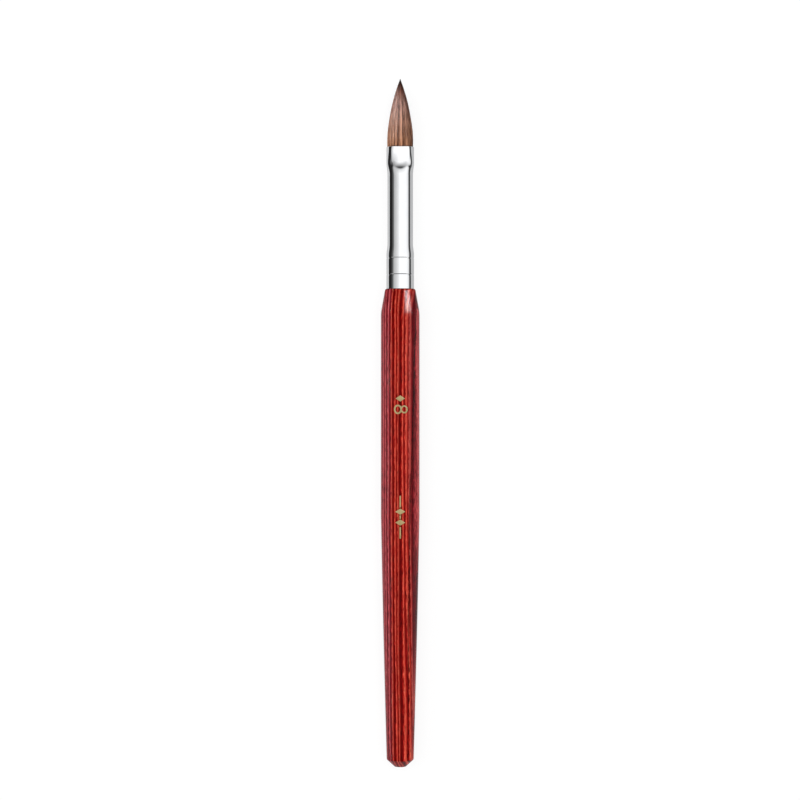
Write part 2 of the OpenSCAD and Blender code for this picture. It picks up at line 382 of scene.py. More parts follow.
def wood_material():
    """Veneers times the seam as colour, handling marks as roughness, fibres as bump, under a coat."""
    material, tree, shader = new_material("laminated_wood")
    in_mm, fibre, depth = veneer_place(tree)
    colour = times(tree, veneer_colour(tree, in_mm, fibre, depth), seam_level(tree, in_mm, depth))
    marks = handling_mask(tree, 260.0, 5200.0)
    bump = add_node(tree, "Bump", Strength=0.12, Distance=0.04 * MM, Height=fibre)
    plug(shader, Base_Color=colour, Roughness=remap(tree, marks, 0.0, 1.0, *WOOD_ROUGH),
         Normal=bump.outputs["Normal"])
    plug(shader, Coat_Weight=1.0, Coat_Roughness=COAT_ROUGH, Specular_IOR_Level=0.0)
    return material


WOOD = wood_material()
print(WOOD.name, len(WOOD.node_tree.nodes), "nodes")


# %% [markdown]
# ## The handle
# A turner works from an outline, so the handle is an outline spun round Y: a flat butt with a
# chamfer, a taper that swells a little, a straight grip, a cone and a rounded shoulder, then the
# tenon that is hidden in the ferrule. Real edges catch light because they are never quite sharp.
# A Bevel modifier could ease them; here each corner of the outline is replaced by a short curve,
# which gives every edge its own softness.

# %% Helpers that turn a piece from its outline
def eased_corner(before, corner, after, reach, steps=7):
    """Curve (1 - t)^2 start + 2 t (1 - t) corner + t^2 end, whose start and end lie on the corner's
    two sides at a distance reach."""
    before, corner, after = (np.asarray(p, float) for p in (before, corner, after))
    start = corner + (before - corner) / np.linalg.norm(before - corner) * reach
    end = corner + (after - corner) / np.linalg.norm(after - corner) * reach
    t = np.linspace(0.0, 1.0, steps)[:, None]
    return (1 - t) ** 2 * start + 2 * t * (1 - t) * corner + t ** 2 * end


def spin(outline, cols=256):
    """Rings of an outline of [radius, place on Y], each point carried once round the axis."""
    return round_axis(outline[:, :1], full_turn(cols), outline[:, 1:])


print("a corner eased by 1:", eased_corner((0, 5), (0, 0), (5, 0), 1.0, 3).round(2).tolist())

# %% [markdown]
# The taper swells past a straight line by a hair's breadth, as hand-turned tapers do: a parabola
# that is 0 at both ends is added to the line. The shoulder stops the ferrule, and the tenon is
# slimmer than the collar's bore, which leaves room for cement.

# %% The handle, turned from its outline
TAPER_SWELL, SEAT_R, NEAR_AXIS = 0.08, 3.3, 0.02
TENON_FLARE, TENON_CHAMFER = (0.02, 0.15), (0.2, 0.3)
BUTT_EASE, CHAMFER_EASE, CONE_EASE, RIM_EASE = 0.22, 0.3, 1.0, 0.5
t = np.linspace(0.0, 1.0, 60)[1:, None]
taper_r = BUTT_R + (GRIP_R - BUTT_R) * t + 4 * TAPER_SWELL * t * (1 - t)
taper = np.concatenate([taper_r, CHAMFER_Y + (TAPER_Y - CHAMFER_Y) * t], axis=1)
grip_y = np.linspace(TAPER_Y, CONE_Y - 1.2 * CONE_EASE, 31)[1:]
grip = np.stack([np.full(len(grip_y), GRIP_R), grip_y], axis=1)
butt_flat, butt_edge = (FLAT_R, BUTT_Y), (BUTT_R, CHAMFER_Y)
cone_foot, cone_top, seat = (GRIP_R, CONE_Y), (NECK_R, SHOULDER_Y), (SEAT_R, SHOULDER_Y)
tenon = [(TENON_R + TENON_FLARE[0], SHOULDER_Y + TENON_FLARE[1]),
         (TENON_R, TENON_Y - TENON_CHAMFER[1]), (TENON_R - TENON_CHAMFER[0], TENON_Y)]
handle_outline = np.concatenate([
    [(NEAR_AXIS, BUTT_Y), (FLAT_R / 2, BUTT_Y)],
    eased_corner((0, BUTT_Y), butt_flat, butt_edge, BUTT_EASE),
    eased_corner(butt_flat, butt_edge, taper[0], CHAMFER_EASE),
    taper,
    grip,
    eased_corner((GRIP_R, 0), cone_foot, cone_top, CONE_EASE),
    eased_corner(cone_foot, cone_top, seat, RIM_EASE, 10),
    [seat, *tenon, (NEAR_AXIS, TENON_Y)],
])
handle = make_piece("turned_handle", *capped_rings(spin(handle_outline)), WOOD)
print("widest", round(handle.dimensions.x / MM, 2), "mm")

# %% [markdown]
# ## Bright plating
# The ferrule is plated tube. Plating is a metal with almost no roughness. A perfect mirror would
# look like a drawing; what makes it real is that it isn't even: polishing leaves very fine rings
# round the tube, and fingers leave dull clouds. Both change roughness and height only a little.

# %% The plating's material
POLISH_PER_M, PLATING_ROUGH = (250.0, 16000.0, 250.0), (0.035, 0.085)
PLATING, tree, shader = marked_material("bright_plating", (420.0, 9000.0), (0.80, 0.81, 0.83),
                                        (0.86, 0.865, 0.87), PLATING_ROUGH)
polish = stretched_noise(tree, object_place(tree), POLISH_PER_M, 2.0)
bump = add_node(tree, "Bump", Strength=0.03, Distance=0.02 * MM, Height=polish)
plug(shader, Normal=bump.outputs["Normal"], Metallic=1.0)
print(PLATING.name, len(PLATING.node_tree.nodes), "nodes")


# %% [markdown]
# ## The ferrule
# The ferrule starts as a round tube. Two rolled rings hold it on the tenon, it eases in to the
# barrel, and it spreads again towards the mouth. In a bright tube the eye reads slopes, not depths:
# a groove a twentieth of a millimetre deep already shows as a clear line. So the rings are shallow
# waves, and every change of radius starts and ends level.

# %% The round tube's outline
SPREAD_Y, FULL_Y = 61.9, 65.0
RING_YS, RING_HALF, RING_DEEP = (36.0, 40.28), 0.27, 0.055


def smooth_step(low, high, value):
    """0 below low, 1 above high, and 3 s^2 - 2 s^3 in between, which is level at both ends."""
    s = np.clip((value - low) / (high - low), 0.0, 1.0)
    return s * s * (3 - 2 * s)


def tube_radius(y):
    """Collar, easing in to the barrel, spreading to the mouth, less the two rings. A ring is one
    wave of a cosine, deepest in its middle."""
    radius = COLLAR_R + (BARREL_R - COLLAR_R) * smooth_step(COLLAR_TOP_Y, BARREL_Y, y)
    radius = radius + (MOUTH_R - BARREL_R) * smooth_step(SPREAD_Y, FULL_Y, y)
    for ring_y in RING_YS:
        wave = np.cos(np.pi * np.clip((y - ring_y) / RING_HALF, -1.0, 1.0))
        radius = radius - RING_DEEP * (0.5 + 0.5 * wave)
    return radius


print("radius in the first ring", round(float(tube_radius(np.array(RING_YS))[0]), 3), "mm")

# %% [markdown]
# Near the mouth two tools with a round nose press the tube from front and back. The press is deepest
# at a waist, and its faces lean out from there to the mouth. It could be drawn by its depth, but
# reflections follow slopes, so it is drawn by its slope: slow at first, steep below the waist, and
# level at the waist. Adding the slope up gives the depth.

# %% How far the press has gone
PRESS_SLOPE = [(61.0, 0.0), (62.3, 0.13), (62.95, 0.17), (63.5, 0.37), (64.3, 0.23), (65.3, 0.0)]


def press_progress(y):
    """Share of the press done at places y, from 0 on the barrel to 1 at the waist: the slope summed
    up by the trapezoid rule and divided by its whole sum."""
    slope_y, slope = np.transpose(PRESS_SLOPE)
    fine = np.linspace(slope_y[0], slope_y[-1], 400)
    steep = np.interp(fine, slope_y, slope)
    depth = np.concatenate([[0.0], np.cumsum((steep[1:] + steep[:-1]) / 2 * np.diff(fine))])
    return np.interp(y, fine, depth / depth[-1])


print("share of the press at y 62, 63, 64, 65 mm:", press_progress(np.arange(62.0, 66.0)).round(2).tolist())

# %% [markdown]
# Cutting the tube with the two tools would leave hard creases that a pressed tube doesn't have. So
# the sections are worked out instead, as radii by angle, and each passes smoothly into the next:
# round on the barrel, a fuller oval at the waist, and at the mouth a circle with two flat faces.
# The tool's lower edge is bowed, so points further out on a face are pressed later.

# %% The ferrule's sections
WAIST_Y, WAIST_HALF, MOUTH_HALF = 65.3, 2.55, 2.93
ROUND_Y, WAIST_POWER, CORNER_EASE = 68.0, 2.2, 0.3
PRESS_BOW, BOW_TOP, BOW_END = 0.18, 1.6, 3.0


def smooth_min(a, b, bend):
    """The smaller of a and b, with the corner between them eased over the length bend."""
    s = np.clip(0.5 + 0.5 * (b - a) / bend, 0.0, 1.0)
    return b + (a - b) * s - bend * s * (1 - s)


def ferrule_rings(y, inset, cols=280):
    """Sections at places y, each drawn in by its inset. The barrel is an ellipse, (x / a)^2 +
    (z / b)^2 = 1; the waist the same with the power 2.2, which fills its corners; the mouth the
    smaller of a circle and a flat face. The press comes late by x^2 times a bow that dies away at
    the sides."""
    angle = full_turn(cols)
    sine, cosine = np.abs(np.sin(angle)), np.maximum(np.abs(np.cos(angle)), 1e-3)
    y, wide = y[:, None], tube_radius(y)[:, None]
    deep = np.where(y > BARREL_Y, BARREL_R, wide)
    barrel = ((sine / wide) ** 2 + (cosine / deep) ** 2) ** -0.5
    past_waist = np.maximum(y - WAIST_Y, 0.0)
    face = WAIST_HALF + (MOUTH_HALF - WAIST_HALF) * past_waist / (MOUTH_Y - WAIST_Y)
    waist = ((sine / wide) ** WAIST_POWER + (cosine / face) ** WAIST_POWER) ** (-1 / WAIST_POWER)
    mouth = smooth_min(wide, face / cosine, CORNER_EASE)
    pressed = waist + (mouth - waist) * np.minimum(past_waist / (ROUND_Y - WAIST_Y), 1.0)
    across = wide * sine
    late = PRESS_BOW * across ** 2 * (1.0 - smooth_step(BOW_TOP, BOW_END, across))
    radius = barrel + (pressed - barrel) * press_progress(y - late) - inset[:, None]
    return round_axis(radius, angle, y)


waist_size = np.ptp(ferrule_rings(np.array([WAIST_Y]), np.zeros(1)), axis=(0, 1))
print("waist from side to side and from face to face:", waist_size[[0, 2]].round(2).tolist(), "mm")

# %% [markdown]
# The sections stand closer together where the shape changes. The tube is lofted up its outside, over
# a rounded lip and down its inside, and the last section joins the first, so it is one closed skin
# with a wall. A Solidify modifier could thicken an open skin, but would leave the lip square.

# %% The ferrule, lofted through its sections
LIP, PRESS_FROM, PRESS_TO = 0.08, 61.0, 66.0
COLLAR_STRETCHES = [(SHOULDER_Y + 0.04, 35.7), (36.3, 39.9)]


def ferrule_stations():
    """Places of the sections along the outside, from the shoulder to just under the lip."""
    curve = np.sin(np.linspace(-np.pi / 2, np.pi / 2, 17))
    return np.unique(np.concatenate([
        [SHOULDER_Y],
        *[np.linspace(start, end, 8) for start, end in COLLAR_STRETCHES],
        *[ring_y + RING_HALF * curve for ring_y in RING_YS],
        np.linspace(COLLAR_TOP_Y, BARREL_Y, 14),
        np.linspace(BARREL_Y, PRESS_FROM, 24),
        np.linspace(PRESS_FROM, PRESS_TO, 60),
        np.linspace(PRESS_TO, MOUTH_Y - LIP, 20),
    ]))


outer_y = ferrule_stations()
lip_turn = np.linspace(0.0, np.pi, 9)[1:-1]
lip_y = MOUTH_Y - LIP + LIP * np.sin(lip_turn)
lip_inset = WALL / 2 * (1 - np.cos(lip_turn))
inner_y = np.append(outer_y[::-3], SHOULDER_Y)
all_y = np.concatenate([outer_y, lip_y, inner_y])
all_inset = np.concatenate([np.zeros(len(outer_y)), lip_inset, np.full(len(inner_y), WALL)])
ferrule_points = ferrule_rings(all_y, all_inset)
ferrule_faces = ring_quads(*ferrule_points.shape[:2], closed_rows=True).tolist()
ferrule = make_piece("pressed_ferrule", ferrule_points, ferrule_faces, PLATING)

# %% [markdown]
# ## Natural hair
# Hair is what a user of the brush looks at first. It is tan at the mouth, redder in the belly and
# nearly black at the point, and differs in tone from lock to lock. The material reads two values
# from the UV map: across it lies the tone of the hair, and up it the place along the hair. A
# stretched noise adds lighter and darker patches along each hair.

# %% The hair's material
# Over the belly (0.35 to 0.62) the pale colour gains green and blue: that grey-pink is painted sheen, laid
# on the hair's own tan.
PALE_HAIR_AND_SHEEN = [(0.0, (0.49, 0.242, 0.134)), (0.35, (0.55, 0.293, 0.20)), (0.62, (0.48, 0.268, 0.216)),
             (0.82, (0.22, 0.08, 0.05)), (0.97, (0.035, 0.010, 0.008))]
DARK_HAIR = [(0.0, (0.07, 0.020, 0.009)), (0.35, (0.065, 0.019, 0.009)), (0.62, (0.05, 0.016, 0.010)),
             (0.82, (0.035, 0.011, 0.008)), (0.97, (0.012, 0.004, 0.003))]
PATCHES_PER_M, PATCH_TONE, HAIR_ROUGH = (2600.0, 300.0, 2600.0), (-0.46, 0.38), (0.38, 0.32)


def hair_material():
    """Colour between dark and pale by the hair's tone plus the patches, with a soft sheen. The
    pale colour's grey-pink belly is painted sheen.
    """
    material, tree, shader = new_material("natural_hair")
    coords = add_node(tree, "TexCoord").outputs
    uv = add_node(tree, "SeparateXYZ", Vector=coords["UV"]).outputs
    patch = stretched_noise(tree, coords["Object"], PATCHES_PER_M, 2.0)
    tone = maths(tree, "ADD", uv["X"], remap(tree, patch, 0.25, 0.75, *PATCH_TONE), clamp=True)
    dark = colour_ramp(tree, uv["Y"], DARK_HAIR)
    pale = colour_ramp(tree, uv["Y"], PALE_HAIR_AND_SHEEN)
    plug(shader, Base_Color=mixed(tree, tone, dark, pale),
         Roughness=remap(tree, tone, 0.0, 1.0, *HAIR_ROUGH), Specular_IOR_Level=1.0)
    return material


HAIR = hair_material()
print(HAIR.name, len(HAIR.node_tree.nodes), "nodes")

# %% [markdown]
# The tuft is full at the mouth and drawn to a point: at a share t of its length its width is 1 less
# t to a power just over 2. Hairs keep their place in the bundle while the bundle narrows. They lie
# in locks, paler and darker by turns, and a lock may lie a little deeper than its neighbours. A
# seeded generator draws these chances, so every run makes the same tuft.

# %% Where each hair lies in the bundle
POINT_POWER = 2.05
LOCK_JITTER, LOCK_SPREAD, LOCK_SINK = 0.4, 0.35, 0.09
LOCK_SHARE, OWN_SHARE = 0.78, 0.3


def draw_in(share):
    """Width of the tuft at a share of its length, as a share of its width at the mouth."""
    return 1.0 - np.clip(share, 0.0, 1.0) ** POINT_POWER


def hair_places(rng, count, locks, inner, outer):
    """Turn round the bundle, share of its radius, and tone of each hair. The root of an even chance
    between two squares spreads hairs evenly over the ring between two radii."""
    lock = rng.integers(0, locks, count)
    step = 2 * np.pi / locks
    lock_turn = (np.arange(locks) + rng.uniform(-LOCK_JITTER, LOCK_JITTER, locks)) * step
    by_turns = np.where(np.arange(locks) % 2, 1, -1)
    lock_tone = 0.5 + by_turns * rng.uniform(-0.2, 0.5, locks)
    lock_sink = rng.uniform(0.0, LOCK_SINK, locks)
    turn = lock_turn[lock] + rng.normal(0.0, LOCK_SPREAD, count) * step
    out = np.sqrt(rng.uniform(inner ** 2, outer ** 2, count)) - lock_sink[lock]
    tone = LOCK_SHARE * lock_tone[lock] + OWN_SHARE * rng.uniform(0.0, 1.0, count)
    return turn, out, tone


print("width left at a half and at nine tenths:", draw_in(np.array([0.5, 0.9])).round(2).tolist())

# %% [markdown]
# Each hair runs from just inside the mouth to the tip in one sweep, sways a little on the way, and
# tapers over its last stretch. Most end close to the tip, and those on the outside a little earlier,
# which makes the point fine but not cut.

# %% The path of each hair
HAIR_R, THICKNESS, HAIR_SINK = 0.066, (0.7, 1.25), 0.05
STATIONS, STATION_POWER = 9, 0.85
EARLY_END, SWAY_MM, SWAY_TURNS = 0.24, 0.06, 1.1


def hair_paths(rng, turn, out):
    """Middle line (hair, station, 3), share of the length, and radius at each station. The sway is
    a sine along the hair that fades to the tip; the radius falls as (1 - s^3)^0.8."""
    count = len(turn)
    end = 1.0 - EARLY_END * out * rng.uniform(0.0, 1.0, count) ** 2
    station = np.linspace(0.0, 1.0, STATIONS)[None, :] ** STATION_POWER
    share = -HAIR_SINK + (end[:, None] + HAIR_SINK) * station
    sway = rng.normal(0.0, SWAY_MM, (count, 2))[:, None, :]
    free = np.clip(share, 0.0, 1.0)[..., None]
    swing = np.sin(2 * SWAY_TURNS * np.pi * free) * sway * (1 - free)
    wide = draw_in(share)
    middle = np.stack([HALF_WIDE * (out * np.sin(turn))[:, None] * wide + swing[..., 0],
                       MOUTH_Y + share * HAIR_L,
                       HALF_DEEP * (out * np.cos(turn))[:, None] * wide + swing[..., 1]], axis=-1)
    radius = HAIR_R * rng.uniform(*THICKNESS, count)[:, None] * (1.0 - station ** 3) ** 0.8
    return middle, share, radius


print("hair", round(2 * HAIR_R, 2), "mm thick at its foot")

# %% [markdown]
# A particle system would not travel with the mesh, so every hair is a thin tube of three sides, with
# very few faces. All tubes are made at once: the points of one hair follow those of the last, so its
# faces are the first hair's faces, shifted.

# %% The hairs as tubes
def give_uv(piece, across, up):
    """UV map that gives each corner of a face the two values of its point."""
    corners = np.empty(len(piece.data.loops), np.int32)
    piece.data.loops.foreach_get("vertex_index", corners)
    uv = np.stack([across, up], axis=-1)[corners]
    piece.data.uv_layers.new(name="UVMap").data.foreach_set("uv", uv.ravel())


def hair_tubes(turn, middle, radius):
    """Points (hair, point, 3) and faces of three-sided tubes: rings round the middle line, one point
    at the tip, and a triangle that closes the foot."""
    count = len(turn)
    corner = turn[:, None] + np.arange(3)[None, :] * 2 * np.pi / 3
    side = round_axis(1.0, corner, 0.0)
    rings = middle[:, :, None, :] + radius[:, :, None, None] * side[:, None, :, :]
    points = np.concatenate([rings[:, :-1].reshape(count, -1, 3), middle[:, -1:, :]], axis=1)
    per_hair = points.shape[1]
    k = np.arange(3)
    last_ring = 3 * (STATIONS - 2)
    tip = np.stack([last_ring + k, last_ring + (k + 1) % 3, np.full(3, per_hair - 1)], axis=-1)
    shift = np.arange(count)[:, None, None] * per_hair
    quads = (ring_quads(STATIONS - 1, 3) + shift).reshape(-1, 4)
    tips = (tip + shift).reshape(-1, 3)
    feet = (np.array([[2, 1, 0]]) + shift).reshape(-1, 3)
    return points, quads.tolist() + tips.tolist() + feet.tolist()


def hair_piece(name, count, locks, inner, outer, seed):
    """Hairs in locks between two shares of the bundle's radius, with tone and place as UV map."""
    rng = np.random.default_rng(seed)
    turn, out, tone = hair_places(rng, count, locks, inner, outer)
    middle, share, radius = hair_paths(rng, turn, out)
    piece = make_piece(name, *hair_tubes(turn, middle, radius), HAIR)
    up = np.concatenate([np.repeat(share[:, :-1], 3, axis=1), share[:, -1:]], axis=1)
    across = np.broadcast_to(tone[:, None], up.shape)
    give_uv(piece, across.ravel(), np.clip(up, 0.0, 1.0).ravel())
    return piece


hairs = [hair_piece("outer_hair", 3600, 56, 0.88, 0.99, 21),
         hair_piece("inner_hair", 3000, 48, 0.5, 0.9, 9)]


# %% [markdown]
# Behind the hairs that are modelled lie thousands more. A slightly smaller body of the same
# outline stands for them, so no light falls through the tuft, and carries on through the ferrule's
# waist to the roots. Its UV map has one dark tone: painted shade, which makes the gaps between
# locks look deep.

# %% The body of hair behind
TIED_Y, ROOT_R, CLEAR = 62.05, 2.4, 0.1
BODY_SHARE, BODY_SHADE_TONE, BODY_END = 0.9, 0.05, 0.97
NECK_SHARE, NECK_DROP = 0.95, 0.4


def hair_body():
    """Rings of ellipses: the tied roots, the inside of the waist, a neck just below the mouth, and
    the tuft's outline times BODY_SHARE."""
    t = np.linspace(0.0, BODY_END, 40)
    tuft = BODY_SHARE * draw_in(t)
    place = np.concatenate([[ROOT_Y, TIED_Y, WAIST_Y, MOUTH_Y - NECK_DROP], MOUTH_Y + t * HAIR_L])
    wide, deep = (
        np.concatenate([[ROOT_R, ROOT_R, waist - WALL - CLEAR, mouth * NECK_SHARE], mouth * tuft])
        for waist, mouth in ((BARREL_R, HALF_WIDE), (WAIST_HALF, HALF_DEEP)))
    rings = round_axis(wide[:, None], full_turn(64), place[:, None], deep[:, None])
    points, faces = capped_rings(rings)
    piece = make_piece("hair_body", points, faces, HAIR)
    up = np.clip((points[:, 1] - MOUTH_Y) / HAIR_L, 0.0, 1.0)
    # The body's one dark tone is painted shade for the gaps between locks.
    give_uv(piece, np.full(len(points), BODY_SHADE_TONE), up)
    return piece


hairs.append(hair_body())

# %% [markdown]
# ## Gold foil on the handle
# The handle carries small marks stamped in gold foil, which read from the ferrule towards the butt:
# a plain size number and a plain ornament. Foil is a film much thinner than a hair, a little rough
# because it takes the grain of the wood, and rubbed paler by fingers.

# %% The foil's material
FOIL_ROUGH = (0.38, 0.55)
FOIL, tree, shader = marked_material("gold_foil", (900.0, 12000.0), (0.38, 0.29, 0.125),
                                     (0.47, 0.38, 0.195), FOIL_ROUGH)
plug(shader, Metallic=0.25)
print(FOIL.name, len(FOIL.node_tree.nodes), "nodes")


# %% [markdown]
# A text object could give a number, but its outline would have to be bent round the grip. So each
# mark is worked out flat, as a grid or a closed stroke, and wrapped: its height becomes an angle
# round the grip. Each shape is closed, with its lower skin just inside the grip's radius.

# %% Foil shapes wrapped round the grip
FOIL_LIFT, FOIL_SINK = 0.02, 0.03


def wrap(right, up, at_y, lift):
    """Flat mark wrapped on the grip: right runs towards the butt, and up runs round to the right, by
    an angle of up / grip radius."""
    return round_axis(GRIP_R + lift, up / GRIP_R, at_y - right)


def foil_loop(centre, half, stroke, at_y, steps=72):
    """Closed stroke round an ellipse: the four corners of its section carried round the loop."""
    angle = full_turn(steps)[:, None]
    offset = np.array([-0.5, 0.5, 0.5, -0.5])[None, :] * stroke
    lift = np.broadcast_to([-FOIL_SINK, -FOIL_SINK, FOIL_LIFT, FOIL_LIFT], (steps, 4))
    right = centre[0] + (half[0] + offset) * np.cos(angle)
    up = centre[1] + (half[1] + offset) * np.sin(angle)
    return wrap(right, up, at_y, lift), ring_quads(steps, 4, closed_rows=True)


def grid_quads(rows, cols):
    """Quads of a grid of points, and the grid of the points' numbers."""
    index = np.arange(rows * cols).reshape(rows, cols)
    corners = [index[:-1, :-1], index[:-1, 1:], index[1:, 1:], index[1:, :-1]]
    return np.stack(corners, axis=-1).reshape(-1, 4), index


def foil_patch(right, up, at_y):
    """Thin closed plate over a grid of flat places: an upper skin, a lower skin and a rim."""
    top, index = grid_quads(*right.shape)
    skins = [wrap(right, up, at_y, lift).reshape(-1, 3) for lift in (FOIL_LIFT, -FOIL_SINK)]
    rim = np.concatenate([index[0, :-1], index[:-1, -1], index[-1, :0:-1], index[:0:-1, 0]])
    after = np.roll(rim, -1)
    walls = np.stack([rim, rim + index.size, after + index.size, after], axis=-1)
    return np.concatenate(skins), np.concatenate([top, top[:, ::-1] + index.size, walls])


print("a full turn of foil is", round(2 * math.pi * (GRIP_R + FOIL_LIFT), 2), "mm long")


# %% [markdown]
# The number is two loops, one above the other, with a lozenge before it. The ornament is a row of
# bars and lozenges. A lozenge is a square grid on its corner: its parameters run along its sides.

# %% The two marks
NUMBER_Y, ORNAMENT_Y = 2.3, -26.5
STROKE, BAR_HALF = 0.42, 0.17


def lozenge(right, half_long, half_tall, at_y, n=9):
    """Plate over a lozenge: right = p + q and up = p - q, each times a half size."""
    p, q = np.meshgrid(np.linspace(-0.5, 0.5, n), np.linspace(-0.5, 0.5, n), indexing="ij")
    return foil_patch(right + half_long * (p + q), half_tall * (p - q), at_y)


def bar(right, half_long, at_y):
    """Plate over a thin bar: right = p and up = q, each times a half size."""
    p, q = np.meshgrid(np.linspace(-1, 1, 12), np.linspace(-1, 1, 5), indexing="ij")
    return foil_patch(right + half_long * p, BAR_HALF * q, at_y)


def foil_piece(name, shapes):
    """Several foil shapes joined into one piece, each shape's faces shifted past the last one's."""
    all_points = [points.reshape(-1, 3) for points, _ in shapes]
    starts = np.cumsum([0] + [len(points) for points in all_points])
    faces = np.concatenate([faces + start for (_, faces), start in zip(shapes, starts)])
    return make_piece(name, np.concatenate(all_points), faces.tolist(), FOIL)


number = foil_piece("foil_size_number", [
    foil_loop((1.1, -0.62), (1.0, 0.82), STROKE, NUMBER_Y),
    foil_loop((1.1, 1.02), (0.85, 0.78), STROKE, NUMBER_Y),
    lozenge(-1.7, 0.8, 1.2, NUMBER_Y),
])
ornament = foil_piece("foil_ornament", [
    bar(-4.0, 1.5, ORNAMENT_Y),
    lozenge(-1.4, 0.8, 1.3, ORNAMENT_Y),
    bar(0.0, 0.45, ORNAMENT_Y),
    lozenge(1.4, 0.8, 1.3, ORNAMENT_Y),
    bar(4.0, 1.5, ORNAMENT_Y),
])


# %% [markdown]
# ## What is hidden inside
# The cement round the tenon, the thread round the roots and the glue are solids of the packed
# model. Their shapes are right, so they stay and only get materials, and the brush is right when
# it is cut open too. Glue sets unevenly, in clouds; thread shows its twist as slanting bands.

# %% Materials of the hidden pieces
GLUE_CLOUDS, GLUE_ROUGH = (700.0, 3000.0), (0.15, 0.35)


def glue_material(name, thick, thin):
    """Set glue: two close tones in clouds, smoother where it is thick."""
    return marked_material(name, GLUE_CLOUDS, thick, thin, GLUE_ROUGH)[0]


def thread_material():
    """Twisted thread: slanting bands of a wave as colour and as bump."""
    material, tree, shader = new_material("binding_thread")
    place = object_place(tree)
    slant = add_node(tree, "Mapping", Vector=place, Rotation=(0.0, 0.5, 0.6)).outputs[0]
    twist = add_node(tree, "TexWave", Vector=slant, Scale=900.0, Distortion=1.5).outputs["Fac"]
    bump = add_node(tree, "Bump", Strength=0.4, Distance=0.05 * MM, Height=twist)
    tint = colour_ramp(tree, twist, [(0.0, (0.55, 0.51, 0.44)), (1.0, (0.82, 0.79, 0.72))])
    plug(shader, Base_Color=tint, Normal=bump.outputs["Normal"], Roughness=0.8)
    return material


hidden = {"tenon_cement": glue_material("set_cement", (0.60, 0.53, 0.34), (0.72, 0.66, 0.46)),
          "root_glue": glue_material("amber_glue", (0.46, 0.29, 0.09), (0.62, 0.44, 0.18)),
          "root_binding": thread_material()}
for node_name, material in hidden.items():
    node_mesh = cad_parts[node_name].data
    node_mesh.materials.clear()
    node_mesh.materials.append(material)
print("hidden pieces:", sorted(hidden))

# %% [markdown]
# ## Riding on the body
# Every piece rides on the brush's one body and takes the place of the solid it stands for. The
# foil stands for no solid: it belongs to the wood it lies on.

# %% Riding and replacing
dressed = [(handle, "handle", "laminated_wood"), (ferrule, "ferrule", "plated_metal")]
dressed += [(hair, "hair_tuft", "hair") for hair in hairs]
for piece, node_name, slot_name in dressed:
    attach(piece, "root")
    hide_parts(node_name)
for mark in (number, ornament):
    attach(mark, "root")
print("pieces:", [piece.name for piece in (handle, ferrule, *hairs, number, ornament)])

# %% [markdown]
# ## The floor
# The brush lies on a plain white floor. Lighting it up to white would also wash out the brush. So
# the floor is white paint mixed with a glow that only rays from the camera and from reflections can
# see. The paint's share still takes the lamps' light, so the soft shadow stays.

# %% The floor
GLOW_SHARE, PAINT = 0.86, 0.88
FLOOR_HALF, FLOOR_Z = 1500.0, -GRIP_R - 0.01


def floor_material():
    """White paint, and by a share of 0.86 a plain glow for camera, glossy and transmission rays."""
    material, tree, mix = new_material("pale_floor", "MixShader")
    paint = add_node(tree, "BsdfPrincipled", Base_Color=(PAINT, PAINT, PAINT, 1.0), Roughness=0.9)
    glow = add_node(tree, "Emission", Color=(1.0, 1.0, 1.0, 1.0), Strength=1.0)
    path = add_node(tree, "LightPath").outputs
    seen = maths(tree, "MAXIMUM", path["Is Camera Ray"], path["Is Glossy Ray"])
    seen = maths(tree, "MAXIMUM", seen, path["Is Transmission Ray"])
    share = maths(tree, "MULTIPLY", seen, GLOW_SHARE)
    plug(mix, i0=share, i1=paint.outputs["BSDF"], i2=glow.outputs["Emission"])
    return material


signs = ((-1, -1), (1, -1), (1, 1), (-1, 1))
floor_corners = [(x * FLOOR_HALF, y * FLOOR_HALF, FLOOR_Z) for x, y in signs]
floor = make_piece("floor", floor_corners, [[0, 1, 2, 3]], floor_material())

# %% [markdown]
# ## Cards for the bright metal
# Polished metal looks like what it reflects. A photographer bends white and black cards round a
# bright tube to give it stripes, and the same is done here: a wide arch over the ferrule that only
# reflections can see. A picture of a studio could surround the scene instead, but cards stand where
# the tube needs them. They glow by their angle round the brush's axis, so the stripes run straight
# along the tube, and fade towards the tip.

# %% Helpers that make cards
FADED = 0.08


def card_material(name, levels, fade_from, fade_to):
    """Glow read by the angle round the Y axis, [(degrees, level), ...], which fades along Y."""
    material, tree, shader = new_material(name, "Emission")
    place = add_node(tree, "SeparateXYZ", Vector=object_place(tree)).outputs
    angle = maths(tree, "ARCTAN2", place["X"], place["Z"])
    turns = [(math.radians(degrees), level) for degrees, level in levels]
    fade = remap(tree, place["Y"], fade_from * MM, fade_to * MM, 1.0, FADED)
    plug(shader, Color=grey_ramp(tree, angle, -math.pi, math.pi, turns), Strength=fade)
    return material


def carried(across, along):
    """Grid of points: a row of [x, z] points carried to each place along Y."""
    across, along = np.asarray(across, float), np.asarray(along, float)
    return np.stack(np.broadcast_arrays(across[:, 0], along[:, None], across[:, 1]), axis=-1)


def card_sheet(name, grid, material):
    """Sheet over a grid of points, seen by reflections and by nothing else."""
    faces, _ = grid_quads(*grid.shape[:2])
    sheet = make_piece(name, grid, faces.tolist(), material)
    for ray in ("camera", "diffuse", "transmission", "volume_scatter", "shadow"):
        setattr(sheet, "visible_" + ray, False)
    return sheet


# %% [markdown]
# Going round from the left, the arch is black, grey, white in front and dark again on the right, and
# a foot of cards on the floor closes it. Two upright cards, beyond the butt and beyond the tip, give
# the tube something bright to show when it is looked at along its axis. They stay low, so that the
# steep sides of the rings and the press still find the dark above them.

